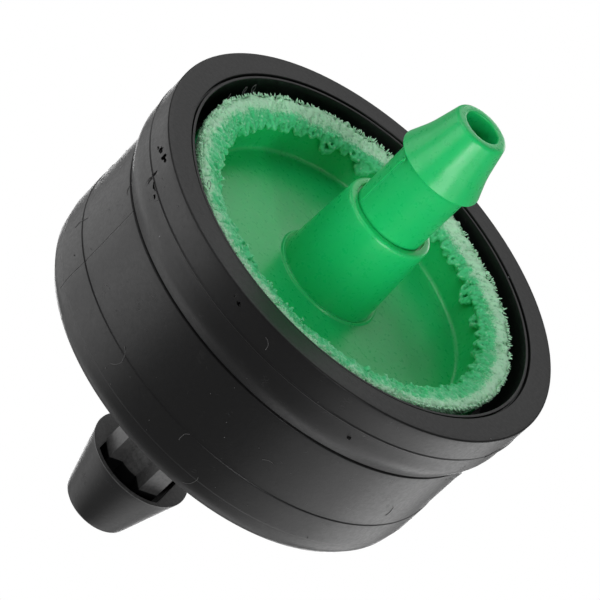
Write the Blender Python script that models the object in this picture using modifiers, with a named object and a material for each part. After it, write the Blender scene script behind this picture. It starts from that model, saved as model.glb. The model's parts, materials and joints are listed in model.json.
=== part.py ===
"""Pressure-compensating drip emitter, on-line button type.

+Z runs along the turned axis, from the pipe barb to the outlet nozzle. The
origin is the centre of the seat face that rests on the pipe's outside.
Lengths below are millimetres, and the meshes are made in metres.
"""
import math

import bmesh
import bpy
from mathutils import Matrix

MM = 0.001
GAP = 0.3                 # clear distance kept between solids that touch
SEGMENTS = 48             # facets round every turned surface

# Black housing, moulded in one with its inlet barb
BODY_R = 11.8
COLLAR_R = 12.3           # wider collar round the mouth
COLLAR_H = 2.5            # straight side of the collar
COLLAR_FOOT_H = 3.7       # where the collar has run out into the wall
RIM_Z = 15.0              # flat top face of the collar
RIM_INNER_R = 10.88
MOUTH_R = 10.62           # inner wall beside the cup
WELD_BORE_R = 10.2        # narrower bore that the cover is welded in
WELD_BORE_TOP = 11.5
BOTTOM_Z = 3.9
BOTTOM_ROUND = 1.5
FLOOR_T = 1.5
SEAT_R = 4.0              # boss that rests on the pipe wall, at z = 0
STEM_R = 1.5              # tube inside the four ribs
RIB_REACH = 2.25
RIB_T = 1.2
RIB_TURN = 41.0           # degrees from +X to the first rib
SHOULDER_Z = -3.9
SHOULDER_R = 3.1
POCKET_HALF = 2.1         # relief sunk in the shoulder round the ribs
POCKET_LIP_R = 2.85
POCKET_DEPTH = 0.9
INLET_TIP_Z = -8.0
INLET_TIP_R = 2.0
INLET_BORE_R = 1.0

# Green cover, moulded in one with its outlet nozzle
COVER_R = 9.9
CUP_TOP_Z = 13.7
CUP_TOP_INNER_R = 8.6
CUP_FOOT_INNER_R = 8.45
CUP_FLOOR_Z = 12.0
COVER_FLOOR_T = 1.0
SKIRT_INNER_R = 8.8
SKIRT_FOOT_Z = 9.0
BOSS_BASE_R = 2.78
BOSS_FLANGE_R = 3.05
BOSS_TOP_R = 2.55
BOSS_TOP_Z = 17.0
BOSS_ROUND = 0.25
OUTLET_STEM_R = 2.05
NOZZLE_Z = 20.85          # flat shoulder under the outlet cone
NOZZLE_R = 2.44
NOZZLE_WAIST_Z = 22.1     # where the cone turns slimmer
NOZZLE_WAIST_R = 1.96
NOZZLE_TIP_Z = 24.0
NOZZLE_TIP_R = 1.5
OUTLET_BORE_R = 1.0
VALVE_SEAT_R = 2.2        # ring that the diaphragm closes on
VALVE_SEAT_Z = 10.3

# Bead of squeezed-out plastic on the cup's wall
FLASH_OUTER_R = 10.1
FLASH_INNER_R = 8.3
FLASH_TOP_Z = 14.6
FLASH_ROUND = 0.3

# Inner pieces
LABYRINTH_R = 9.6
LABYRINTH_T = 2.2
LABYRINTH_SLOTS = 24
SLOT_DEPTH = 0.9
SLOT_WIDTH = 0.8
PORT_R = 1.2              # hole that lets line pressure reach the diaphragm
DIAPHRAGM_R = 6.2
DIAPHRAGM_T = 1.2
DIAPHRAGM_LIFT = 0.6      # free travel from rest to the valve seat


def clear_scene():
    """Remove every object that the scene opened with."""
    for thing in list(bpy.data.objects):
        bpy.data.objects.remove(thing, do_unlink=True)


def make_collection(name):
    """Make a collection in the scene."""
    group = bpy.data.collections.new(name)
    bpy.context.scene.collection.children.link(group)
    return group


def make_material(name, colour, roughness):
    """Make a plain moulded plastic or rubber."""
    material = bpy.data.materials.new(name)
    material.use_nodes = True
    shader = material.node_tree.nodes["Principled BSDF"]
    shader.inputs["Base Color"].default_value = (*colour, 1.0)
    shader.inputs["Roughness"].default_value = roughness
    shader.inputs["Metallic"].default_value = 0.0
    return material


def arc(centre_r, centre_z, radius, start, end, steps):
    """Points of an arc in the profile plane; angles in degrees from +X to +Z."""
    points = []
    for step in range(steps + 1):
        angle = math.radians(start + (end - start) * step / steps)
        points.append((centre_r + radius * math.cos(angle), centre_z + radius * math.sin(angle)))
    return points


def turn(name, outline, group, closed=True):
    """Turn an outline of (radius, height) points, listed down its outer side, round +Z."""
    mesh = bpy.data.meshes.new(name)
    profile = bmesh.new()
    points = [profile.verts.new((radius * MM, 0.0, height * MM)) for radius, height in outline]
    for first, second in zip(points, points[1:]):
        profile.edges.new((first, second))
    if closed:
        profile.edges.new((points[-1], points[0]))
    profile.to_mesh(mesh)
    profile.free()
    piece = bpy.data.objects.new(name, mesh)
    group.objects.link(piece)
    screw = piece.modifiers.new("turned", "SCREW")
    screw.axis = "Z"
    screw.steps = SEGMENTS
    screw.render_steps = SEGMENTS
    screw.use_merge_vertices = True
    screw.merge_threshold = 0.00001
    screw.use_smooth_shade = True
    return piece


def make_box(name, size, centre, turn_degrees, group):
    """Make a box from its size and centre, turned about +Z."""
    mesh = bpy.data.meshes.new(name)
    shape = bmesh.new()
    bmesh.ops.create_cube(shape, size=1.0)
    bmesh.ops.scale(shape, vec=[side * MM for side in size], verts=shape.verts)
    shape.to_mesh(mesh)
    shape.free()
    box = bpy.data.objects.new(name, mesh)
    box.location = [place * MM for place in centre]
    box.rotation_euler[2] = math.radians(turn_degrees)
    group.objects.link(box)
    return box


def boolean(piece, tool, operation):
    """Join or cut a piece with a tool that stays hidden."""
    tool.hide_render = True
    tool.display_type = "WIRE"
    step = piece.modifiers.new(tool.name, "BOOLEAN")
    step.operation = operation
    step.solver = "EXACT"
    step.object = tool


def body_outline():
    """Outline of the housing with its seat, stem and barb, round the inlet bore."""
    floor_z = BOTTOM_Z + FLOOR_T
    outline = [
        (RIM_INNER_R, RIM_Z),
        (COLLAR_R, RIM_Z),
        (COLLAR_R, RIM_Z - COLLAR_H),
        (COLLAR_R - 0.15, RIM_Z - COLLAR_H - 0.5),
        (BODY_R, RIM_Z - COLLAR_FOOT_H),
    ]
    outline += arc(BODY_R - BOTTOM_ROUND, BOTTOM_Z + BOTTOM_ROUND, BOTTOM_ROUND, 0, -90, 5)
    outline += [
        (SEAT_R + 0.6, BOTTOM_Z),
        (SEAT_R, 0.0),
        (STEM_R, 0.0),
        (STEM_R, SHOULDER_Z),
        (SHOULDER_R, SHOULDER_Z),
        (INLET_TIP_R, INLET_TIP_Z),
        (INLET_BORE_R, INLET_TIP_Z),
        (INLET_BORE_R, floor_z),
        (WELD_BORE_R, floor_z),
        (WELD_BORE_R, WELD_BORE_TOP),
        (MOUTH_R, WELD_BORE_TOP),
        (MOUTH_R, RIM_Z - 0.2),
    ]
    return outline


def make_body(group, tools):
    """Black housing: a turned cup on a ribbed stem that ends in the barb."""
    body = turn("body", body_outline(), group)
    pocket_z = SHOULDER_Z - POCKET_DEPTH / 2
    disc = [
        (STEM_R, SHOULDER_Z + 0.5),
        (POCKET_LIP_R, SHOULDER_Z + 0.5),
        (POCKET_LIP_R, SHOULDER_Z - POCKET_DEPTH),
        (STEM_R, SHOULDER_Z - POCKET_DEPTH),
    ]
    pocket = turn("pocket_cutter", disc, tools)
    side = (2 * POCKET_HALF, 4 * SHOULDER_R, POCKET_DEPTH + 2.0)
    band = make_box("pocket_band", side, (0, 0, pocket_z), 0, tools)
    boolean(pocket, band, "INTERSECT")
    boolean(body, pocket, "DIFFERENCE")
    rib_bottom = SHOULDER_Z - POCKET_DEPTH - 0.2
    rib_top = 0.2
    length = RIB_REACH - INLET_BORE_R - 0.2
    middle = RIB_REACH - length / 2
    for index in range(4):
        angle = RIB_TURN + 90 * index
        size = (length, RIB_T, rib_top - rib_bottom)
        place = (
            middle * math.cos(math.radians(angle)),
            middle * math.sin(math.radians(angle)),
            (rib_top + rib_bottom) / 2,
        )
        rib = make_box("rib_%d" % index, size, place, angle, tools)
        boolean(body, rib, "UNION")
    return body


def cover_outline():
    """Outline of the cup, boss, stem and nozzle, round the outlet bore."""
    outline = [
        (OUTLET_BORE_R, NOZZLE_TIP_Z),
        (NOZZLE_TIP_R - 0.15, NOZZLE_TIP_Z),
        (NOZZLE_TIP_R, NOZZLE_TIP_Z - 0.15),
        (NOZZLE_WAIST_R, NOZZLE_WAIST_Z),
        (NOZZLE_R, NOZZLE_Z + 0.15),
        (NOZZLE_R - 0.1, NOZZLE_Z),
        (OUTLET_STEM_R, NOZZLE_Z),
        (OUTLET_STEM_R, BOSS_TOP_Z),
    ]
    boss_corner = BOSS_TOP_R - BOSS_ROUND
    outline += arc(boss_corner, BOSS_TOP_Z - BOSS_ROUND, BOSS_ROUND, 90, 0, 3)
    outline += [
        (BOSS_BASE_R, CUP_FLOOR_Z + 0.3),
        (BOSS_FLANGE_R, CUP_FLOOR_Z),
        (CUP_FOOT_INNER_R - 0.3, CUP_FLOOR_Z),
        (CUP_FOOT_INNER_R, CUP_FLOOR_Z + 0.3),
        (CUP_TOP_INNER_R, CUP_TOP_Z),
        (COVER_R, CUP_TOP_Z),
        (COVER_R, SKIRT_FOOT_Z),
        (SKIRT_INNER_R, SKIRT_FOOT_Z),
        (SKIRT_INNER_R, CUP_FLOOR_Z - COVER_FLOOR_T),
        (VALVE_SEAT_R, CUP_FLOOR_Z - COVER_FLOOR_T),
        (VALVE_SEAT_R - 0.3, VALVE_SEAT_Z),
        (OUTLET_BORE_R, VALVE_SEAT_Z),
    ]
    return outline


def make_cover(group):
    """Green cover: a turned cup with a central boss and the outlet nozzle."""
    return turn("cover", cover_outline(), group)


def make_weld_flash(group):
    """Bead of plastic that the weld pushed up onto the cup's wall."""
    foot_z = CUP_TOP_Z + GAP
    outline = [
        (FLASH_INNER_R + FLASH_ROUND, FLASH_TOP_Z),
        (FLASH_OUTER_R - FLASH_ROUND, FLASH_TOP_Z),
        (FLASH_OUTER_R, FLASH_TOP_Z - FLASH_ROUND),
        (FLASH_OUTER_R, foot_z),
        (FLASH_INNER_R, foot_z),
        (FLASH_INNER_R, FLASH_TOP_Z - FLASH_ROUND),
    ]
    return turn("weld_flash", outline, group)


def make_labyrinth(group, tools):
    """Flow-path disc: slots round its edge throttle the water."""
    low = BOTTOM_Z + FLOOR_T + GAP
    high = low + LABYRINTH_T
    outline = [(PORT_R, high), (LABYRINTH_R, high), (LABYRINTH_R, low), (PORT_R, low)]
    disc = turn("labyrinth_disc", outline, group)
    slots = bmesh.new()
    size = (2 * SLOT_DEPTH, SLOT_WIDTH, LABYRINTH_T + 1.0)
    place = (LABYRINTH_R * MM, 0.0, (low + high) / 2 * MM)
    for index in range(LABYRINTH_SLOTS):
        verts = bmesh.ops.create_cube(slots, size=1.0)["verts"]
        bmesh.ops.scale(slots, vec=[side * MM for side in size], verts=verts)
        bmesh.ops.translate(slots, vec=place, verts=verts)
        spin = Matrix.Rotation(2 * math.pi * (index + 0.5) / LABYRINTH_SLOTS, 3, "Z")
        bmesh.ops.rotate(slots, cent=(0, 0, 0), matrix=spin, verts=verts)
    mesh = bpy.data.meshes.new("slot_cutter")
    slots.to_mesh(mesh)
    slots.free()
    cutter = bpy.data.objects.new("slot_cutter", mesh)
    tools.objects.link(cutter)
    boolean(disc, cutter, "DIFFERENCE")
    return disc


def make_diaphragm(group):
    """Silicone disc that lifts towards the valve seat as the pressure rises."""
    low = VALVE_SEAT_Z - GAP - DIAPHRAGM_LIFT - DIAPHRAGM_T
    outline = [(0.0, DIAPHRAGM_T), (DIAPHRAGM_R, DIAPHRAGM_T), (DIAPHRAGM_R, 0.0), (0.0, 0.0)]
    disc = turn("diaphragm", outline, group, closed=False)
    disc.location.z = low * MM
    return disc


def main():
    clear_scene()
    parts = make_collection("drip_emitter")
    tools = make_collection("cutters")
    black = make_material("black_plastic", (0.022, 0.022, 0.024), 0.45)
    green = make_material("green_plastic", (0.02, 0.45, 0.17), 0.35)
    pale_green = make_material("pale_green_plastic", (0.35, 0.72, 0.48), 0.7)
    cream = make_material("labyrinth_plastic", (0.75, 0.75, 0.70), 0.5)
    silicone = make_material("silicone", (0.10, 0.10, 0.11), 0.6)
    finishes = [
        (make_body(parts, tools), black),
        (make_cover(parts), green),
        (make_weld_flash(parts), pale_green),
        (make_labyrinth(parts, tools), cream),
        (make_diaphragm(parts), silicone),
    ]
    for piece, material in finishes:
        piece.data.materials.append(material)


main()
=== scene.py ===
# %% [markdown]
# # A button drip emitter
#
# This lesson dresses a CAD model of a small irrigation dripper. The
# real part is about 25 mm across: a black housing with a barb that is pushed
# into a pipe, a green cup with an outlet nozzle, and between the two a ragged
# bead of plastic that the weld squeezed out. The CAD solids are plain, so each
# visible piece is modelled again here, finer, in exactly the same place.

# %% Load the frame
import json
import math
import random

import bmesh
import bpy
import numpy as np
from mathutils import Matrix, Vector, noise

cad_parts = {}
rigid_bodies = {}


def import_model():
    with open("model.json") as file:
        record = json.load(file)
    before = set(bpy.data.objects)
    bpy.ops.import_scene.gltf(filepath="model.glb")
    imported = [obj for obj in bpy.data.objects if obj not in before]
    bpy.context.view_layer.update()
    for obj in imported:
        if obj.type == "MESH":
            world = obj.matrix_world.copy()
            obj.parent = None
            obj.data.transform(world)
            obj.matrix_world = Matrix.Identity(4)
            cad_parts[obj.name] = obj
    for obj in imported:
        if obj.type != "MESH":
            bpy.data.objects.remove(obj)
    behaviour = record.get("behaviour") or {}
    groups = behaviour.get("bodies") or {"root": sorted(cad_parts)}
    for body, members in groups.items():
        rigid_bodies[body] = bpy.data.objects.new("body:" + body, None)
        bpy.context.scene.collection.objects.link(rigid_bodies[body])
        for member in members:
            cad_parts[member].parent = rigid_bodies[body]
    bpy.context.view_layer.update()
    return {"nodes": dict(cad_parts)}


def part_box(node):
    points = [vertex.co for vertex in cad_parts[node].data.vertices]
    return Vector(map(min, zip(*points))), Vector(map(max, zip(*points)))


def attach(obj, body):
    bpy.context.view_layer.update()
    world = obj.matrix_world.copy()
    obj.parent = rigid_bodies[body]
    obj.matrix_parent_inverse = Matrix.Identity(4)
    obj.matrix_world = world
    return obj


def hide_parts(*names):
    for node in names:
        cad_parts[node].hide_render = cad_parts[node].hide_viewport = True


for thing in list(bpy.data.objects):
    bpy.data.objects.remove(thing, do_unlink=True)
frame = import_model()
MM = 0.001
RIM_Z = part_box("body")[1].z / MM
COLLAR_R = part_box("body")[1].x / MM
INLET_TIP_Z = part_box("body")[0].z / MM
NOZZLE_TIP_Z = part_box("cover")[1].z / MM
print("rim at %.2f mm, collar radius %.2f mm" % (RIM_Z, COLLAR_R))
print("inlet tip at %.2f mm, nozzle tip at %.2f mm" % (INLET_TIP_Z, NOZZLE_TIP_Z))

# %% [markdown]
# ## Camera
#
# A small object seen from 15 cm through a long lens shows a little
# perspective. The camera looks down on the rim by about 30 degrees and is
# rolled, so that the dripper's axis crosses the picture from corner to corner.
# An aim point, a distance and two angles say where it stands.

# %% Make the camera
AIM = Vector((-0.20, -2.20, 11.18)) * MM
CAMERA_DISTANCE = 150.5 * MM
CAMERA_ELEVATION = math.radians(30.2)
CAMERA_ROLL = math.radians(45.75)
CAMERA_LENS = 180.6


def make_camera():
    """Put the camera on the -Y side, above the rim, and roll it about its own axis."""
    back = Vector((0.0, -math.cos(CAMERA_ELEVATION), math.sin(CAMERA_ELEVATION)))
    data = bpy.data.cameras.new("camera")
    data.lens = CAMERA_LENS
    data.sensor_width = 36.0
    data.clip_start = 0.01
    data.clip_end = 10.0
    camera = bpy.data.objects.new("camera", data)
    camera.location = AIM + back * CAMERA_DISTANCE
    level = back.to_track_quat("Z", "Y").to_matrix()
    camera.rotation_euler = (level @ Matrix.Rotation(CAMERA_ROLL, 3, "Z")).to_euler()
    bpy.context.scene.collection.objects.link(camera)
    bpy.context.scene.camera = camera
    return camera


camera = make_camera()
print("camera at", [round(v / MM, 1) for v in camera.location], "mm")

# %% [markdown]
# ## Floor and light
#
# The dripper is shown against plain white. The floor glows a little for the
# camera, so no shadow or horizon shows, and it is darker for every other ray,
# so that black plastic doesn't mirror it as grey. Black and green plastic want
# different light: black shows only what it mirrors, so its boxes stand low at
# the sides and leave the front dark, while green needs light from the front. A
# studio does that with flags. Here each lamp is linked to the pieces it lights,
# once they are made.

# %% Make the floor
FLOOR_DROP = 450.0        # millimetres below the barb's tip
FLOOR_SIZE = 8.0          # metres across
FLOOR_GLOW = 1.0
FLOOR_BOUNCE = 0.32


def make_floor():
    """A wide pale floor, bright to the camera and dimmer to the object."""
    mesh = bpy.data.meshes.new("floor")
    shape = bmesh.new()
    bmesh.ops.create_grid(shape, x_segments=1, y_segments=1, size=FLOOR_SIZE / 2)
    shape.to_mesh(mesh)
    shape.free()
    floor = bpy.data.objects.new("floor", mesh)
    floor.location.z = (INLET_TIP_Z - FLOOR_DROP) * MM
    bpy.context.scene.collection.objects.link(floor)
    material = bpy.data.materials.new("floor_white")
    material.use_nodes = True
    nodes = material.node_tree.nodes
    links = material.node_tree.links
    nodes.clear()
    output = nodes.new("ShaderNodeOutputMaterial")
    mix = nodes.new("ShaderNodeMixShader")
    path = nodes.new("ShaderNodeLightPath")
    bounce = nodes.new("ShaderNodeEmission")
    glow = nodes.new("ShaderNodeEmission")
    bounce.inputs["Strength"].default_value = FLOOR_BOUNCE
    glow.inputs["Strength"].default_value = FLOOR_GLOW
    links.new(path.outputs["Is Camera Ray"], mix.inputs[0])
    links.new(bounce.outputs[0], mix.inputs[1])
    links.new(glow.outputs[0], mix.inputs[2])
    links.new(mix.outputs[0], output.inputs["Surface"])
    mesh.materials.append(material)
    return floor


floor = make_floor()
print("floor %.1f mm below the tip" % FLOOR_DROP)

# %% Make the lights
LIGHT_AIM = Vector((0.0, 0.0, 10.0)) * MM
WORLD_GREY = 0.246
LIGHT_DISTANCE = 0.35
SOFT_BOX = (0.20, 0.20)   # width and height in metres
TALL_STRIP = (0.04, 0.10)
SMALL_STRIP = (0.04, 0.06)
# name: azimuth from +X, elevation, (width, height), power in watts
BLACK_LIGHTS = {
    "low_right": (30, -30, SOFT_BOX, 0.24),
    "low_right_front": (0, -30, SOFT_BOX, 0.17),
    "low_front": (-30, -30, SOFT_BOX, 0.12),
    "low_left": (180, -30, SOFT_BOX, 0.14),
    "low_left_front": (-150, -30, SOFT_BOX, 0.19),
    "low_left_back": (150, -30, SOFT_BOX, 0.10),
    "under_right": (0, -62, SOFT_BOX, 0.12),
    "under_left": (180, -62, SOFT_BOX, 0.10),
    "under_back": (92, -34, SOFT_BOX, 0.55),
    "back_right": (90, 40, SOFT_BOX, 0.10),
    "back_left": (125, 38, SOFT_BOX, 0.13),
    "high_left": (180, 40, SOFT_BOX, 0.10),
    "top_left": (-165, 62, SOFT_BOX, 0.12),
    "front_left": (-135, 5, SOFT_BOX, 0.10),
    "small_front": (-52, 27, SMALL_STRIP, 0.22),
}
GREEN_LIGHTS = {
    "front_box": (-60, 5, SOFT_BOX, 0.52),
    "front_left_box": (-135, 5, SOFT_BOX, 0.24),
    "boss_strip": (-52, 27, SMALL_STRIP, 0.17),
    "cone_strip": (-72, 3, TALL_STRIP, 0.12),
    "back_box": (80, 5, SOFT_BOX, 0.30),
    "left_box": (175, 5, SOFT_BOX, 0.14),
    "right_box": (-25, 5, SOFT_BOX, 0.13),
    "high_back_box": (110, 38, SOFT_BOX, 0.13),
    "high_left_box": (-172, 52, SOFT_BOX, 0.24),
}


def make_light(name, azimuth, elevation, size, power):
    """A rectangular soft box that points at the middle of the dripper."""
    turn = math.radians(azimuth)
    rise = math.radians(elevation)
    away = Vector((math.cos(turn) * math.cos(rise), math.sin(turn) * math.cos(rise), math.sin(rise)))
    data = bpy.data.lights.new(name, "AREA")
    data.shape = "RECTANGLE"
    data.size, data.size_y = size
    data.energy = power
    lamp = bpy.data.objects.new(name, data)
    lamp.location = LIGHT_AIM + away * LIGHT_DISTANCE
    lamp.rotation_euler = away.to_track_quat("Z", "Y").to_euler()
    lamp.visible_camera = False
    bpy.context.scene.collection.objects.link(lamp)
    return lamp


black_lamps = [make_light("black_" + name, *numbers) for name, numbers in BLACK_LIGHTS.items()]
green_lamps = [make_light("green_" + name, *numbers) for name, numbers in GREEN_LIGHTS.items()]


def make_world():
    """White to the camera like the floor, and dim grey to everything else."""
    world = bpy.data.worlds.new("room")
    world.use_nodes = True
    nodes = world.node_tree.nodes
    links = world.node_tree.links
    dim = nodes["Background"]
    dim.inputs["Color"].default_value = (WORLD_GREY,) * 3 + (1.0,)
    bright = nodes.new("ShaderNodeBackground")
    bright.inputs["Color"].default_value = (FLOOR_GLOW,) * 3 + (1.0,)
    path = nodes.new("ShaderNodeLightPath")
    mix = nodes.new("ShaderNodeMixShader")
    links.new(path.outputs["Is Camera Ray"], mix.inputs[0])
    links.new(dim.outputs[0], mix.inputs[1])
    links.new(bright.outputs[0], mix.inputs[2])
    links.new(mix.outputs[0], nodes["World Output"].inputs["Surface"])
    bpy.context.scene.world = world


make_world()
bpy.context.scene.view_settings.view_transform = "Standard"
print(len(black_lamps), "boxes for the black,", len(green_lamps), "for the green")

# %% [markdown]
# ## Turned shapes
#
# Almost everything on a dripper is turned: an outline swept round one axis. A
# Screw modifier would do it, but here the surface also gets nicks and a weld's
# ragged edge, so the outline is swept in numpy and the points stay at hand to
# be moved. An outline lists only its corners; each corner says how far back
# it is rounded, and long straight runs are cut into short steps afterwards.

# %% Sweep an outline round the axis


def rounded(corners, steps=4):
    """Round the corners (radius, height, cut-back) of a closed outline with short curves."""
    points = []
    count = len(corners)
    for index, (radius, height, cut) in enumerate(corners):
        here = np.array([radius, height], float)
        if cut == 0.0:
            points.append(here)
            continue
        before = np.array(corners[index - 1][:2], float) - here
        after = np.array(corners[(index + 1) % count][:2], float) - here
        start = here + before / np.linalg.norm(before) * cut
        end = here + after / np.linalg.norm(after) * cut
        for step in range(steps + 1):
            t = step / steps
            points.append((1 - t) ** 2 * start + 2 * t * (1 - t) * here + t * t * end)
    return np.array(points)


def divided(outline, longest):
    """Cut every side of a closed outline into steps no longer than this."""
    points = []
    for start, end in zip(outline, np.roll(outline, -1, axis=0)):
        cuts = max(1, math.ceil(np.linalg.norm(end - start) / longest))
        for step in range(cuts):
            points.append(start + (end - start) * step / cuts)
    return np.array(points)


def swept(outline, segments):
    """Points of the outline swept round +Z, as an array of (segment, point, xyz) in millimetres."""
    angles = np.linspace(0.0, 2 * math.pi, segments, endpoint=False)
    radius = np.broadcast_to(outline[:, 0], (segments, len(outline)))
    height = np.broadcast_to(outline[:, 1], (segments, len(outline)))
    turn = angles[:, None]
    return np.stack([radius * np.cos(turn), radius * np.sin(turn), height], axis=2)


def ring_faces(segments, points):
    """Quads that join a swept outline into a closed ring, facing out."""
    faces = []
    for a in range(segments):
        b = (a + 1) % segments
        for p in range(points):
            q = (p + 1) % points
            faces.append((a * points + p, a * points + q, b * points + q, b * points + p))
    return faces


def mesh_object(name, verts_mm, faces, material, sharp=40.0):
    """Make a smooth-shaded object from points in millimetres."""
    mesh = bpy.data.meshes.new(name)
    mesh.from_pydata((np.asarray(verts_mm).reshape(-1, 3) * MM).tolist(), [], faces)
    mesh.validate()
    mesh.shade_smooth()
    mesh.set_sharp_from_angle(angle=math.radians(sharp))
    mesh.materials.append(material)
    piece = bpy.data.objects.new(name, mesh)
    bpy.context.scene.collection.objects.link(piece)
    return piece


print("sweep helpers ready")

# %% [markdown]
# ## Effects that several plastics share
#
# Moulded plastic is never perfectly even. The same few effects come back on
# several pieces, so each is a node group with named inputs and outputs, built once:
# a fine mould grain, dry scuffs and hair scratches, and dust specks. A fourth
# marks the seam where the two halves of the mould meet. The groups only put
# out masks and heights; each plastic has its own shader.

# %% A helper that builds node groups
OBJECT_SCALE = 1.0 / MM   # object coordinates are metres, and the effects count millimetres


class Group:
    """A shader node group under construction, with named sockets."""

    def __init__(self, name, inputs, outputs):
        self.tree = bpy.data.node_groups.new(name, "ShaderNodeTree")
        for label, kind, value in inputs:
            socket = self.tree.interface.new_socket(label, in_out="INPUT", socket_type=kind)
            if value is not None:
                socket.default_value = value
        for label, kind in outputs:
            self.tree.interface.new_socket(label, in_out="OUTPUT", socket_type=kind)
        self.entry = self.tree.nodes.new("NodeGroupInput")
        self.exit = self.tree.nodes.new("NodeGroupOutput")

    def add(self, kind, links=None, **settings):
        """Add a node, set its properties and link or fill its inputs."""
        return add_node(self.tree, kind, links, **settings)


def add_node(tree, kind, links=None, **settings):
    """Add a node to a tree; links maps an input's name or number to a socket or a value."""
    node = tree.nodes.new(kind)
    for key, value in settings.items():
        setattr(node, key, value)
    for key, value in (links or {}).items():
        if isinstance(value, bpy.types.NodeSocket):
            tree.links.new(value, node.inputs[key])
        else:
            node.inputs[key].default_value = value
    return node


def maths(tree, operation, first, second=None):
    """One arithmetic step; gives its output socket."""
    links = {0: first}
    if second is not None:
        links[1] = second
    return add_node(tree, "ShaderNodeMath", links, operation=operation).outputs[0]


def ramp(tree, value, low, high, start=0.0, end=1.0):
    """Map a value from low..high smoothly to start..end; gives its output socket."""
    links = {"Value": value, "From Min": low, "From Max": high, "To Min": start, "To Max": end}
    node = add_node(tree, "ShaderNodeMapRange", links, interpolation_type="SMOOTHSTEP")
    return node.outputs["Result"]


print("node helpers ready")

# %% Mould grain


def make_grain_group():
    """Fine and coarse unevenness of a moulded surface, as one height."""
    group = Group(
        "mould_grain",
        [("Vector", "NodeSocketVector", None), ("Fine Scale", "NodeSocketFloat", 9.0),
         ("Wave Scale", "NodeSocketFloat", 0.35), ("Wave Share", "NodeSocketFloat", 0.5)],
        [("Height", "NodeSocketFloat"), ("Mottle", "NodeSocketFloat")],
    )
    tree = group.tree
    place = group.entry.outputs["Vector"]
    fine = group.add("ShaderNodeTexNoise", {"Vector": place, "Scale": group.entry.outputs["Fine Scale"],
                                            "Detail": 4.0, "Roughness": 0.65})
    wave = group.add("ShaderNodeTexNoise", {"Vector": place, "Scale": group.entry.outputs["Wave Scale"],
                                            "Detail": 2.0})
    share = group.entry.outputs["Wave Share"]
    low = maths(tree, "MULTIPLY", wave.outputs["Fac"], share)
    high = maths(tree, "MULTIPLY", fine.outputs["Fac"], maths(tree, "SUBTRACT", 1.0, share))
    tree.links.new(maths(tree, "ADD", low, high), group.exit.inputs["Height"])
    tree.links.new(fine.outputs["Fac"], group.exit.inputs["Mottle"])
    return group.tree


grain_group = make_grain_group()
print("group", grain_group.name)

# %% Scuffs and scratches


def make_scuff_group():
    """Dry rubbed patches and thin scratches, as masks from 0 to 1."""
    group = Group(
        "scuffs",
        [("Vector", "NodeSocketVector", None), ("Scale", "NodeSocketFloat", 1.0),
         ("Amount", "NodeSocketFloat", 0.5)],
        [("Scratches", "NodeSocketFloat"), ("Patches", "NodeSocketFloat")],
    )
    tree = group.tree
    place = group.entry.outputs["Vector"]
    scale = group.entry.outputs["Scale"]
    amount = group.entry.outputs["Amount"]
    patch = group.add("ShaderNodeTexNoise", {"Vector": place, "Scale": scale, "Detail": 5.0,
                                             "Roughness": 0.6})
    threshold = maths(tree, "SUBTRACT", 0.75, maths(tree, "MULTIPLY", amount, 0.25))
    soft_edge = maths(tree, "ADD", threshold, 0.12)
    patches = ramp(tree, patch.outputs["Fac"], threshold, soft_edge)
    lines = []
    for index, (turn_x, turn_z) in enumerate([(0.4, 0.3), (1.3, 2.1), (2.2, 1.2)]):
        turned = group.add("ShaderNodeVectorRotate", {"Vector": place, "Rotation": (turn_x, 0.3, turn_z)},
                           rotation_type="EULER_XYZ")
        squeezed = group.add("ShaderNodeVectorMath", {0: turned.outputs[0], 1: (3.2, 0.16, 3.2)},
                             operation="MULTIPLY")
        noise_node = group.add("ShaderNodeTexNoise", {"Vector": squeezed.outputs[0], "Scale": scale,
                                                      "Detail": 1.0, "Distortion": 0.25})
        offset = maths(tree, "ABSOLUTE", maths(tree, "SUBTRACT", noise_node.outputs["Fac"], 0.5))
        lines.append(ramp(tree, offset, 0.004, 0.0))
    merged = maths(tree, "MAXIMUM", maths(tree, "MAXIMUM", lines[0], lines[1]), lines[2])
    broken = group.add("ShaderNodeTexNoise", {"Vector": place, "Scale": maths(tree, "MULTIPLY", scale, 1.7)})
    gate_low = maths(tree, "SUBTRACT", 0.72, maths(tree, "MULTIPLY", amount, 0.2))
    gate = ramp(tree, broken.outputs["Fac"], gate_low, 0.78)
    tree.links.new(maths(tree, "MULTIPLY", merged, gate), group.exit.inputs["Scratches"])
    tree.links.new(patches, group.exit.inputs["Patches"])
    return group.tree


scuff_group = make_scuff_group()
print("group", scuff_group.name)

# %% Dust specks


def make_speck_group():
    """Small bright specks scattered over a surface, as a mask."""
    group = Group(
        "dust_specks",
        [("Vector", "NodeSocketVector", None), ("Scale", "NodeSocketFloat", 1.4),
         ("Size", "NodeSocketFloat", 0.05)],
        [("Specks", "NodeSocketFloat")],
    )
    tree = group.tree
    place = group.entry.outputs["Vector"]
    cell = group.add("ShaderNodeTexVoronoi", {"Vector": place, "Scale": group.entry.outputs["Scale"]})
    pick = group.add("ShaderNodeSeparateColor", {0: cell.outputs["Color"]})
    chosen = ramp(tree, pick.outputs[0], 0.62, 0.66)
    size = maths(tree, "MULTIPLY", group.entry.outputs["Size"], pick.outputs[1])
    speck = ramp(tree, cell.outputs["Distance"], size, maths(tree, "MULTIPLY", size, 0.5))
    tree.links.new(maths(tree, "MULTIPLY", chosen, speck), group.exit.inputs["Specks"])
    return group.tree


speck_group = make_speck_group()
print("group", speck_group.name)

# %% Mould seam


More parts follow.
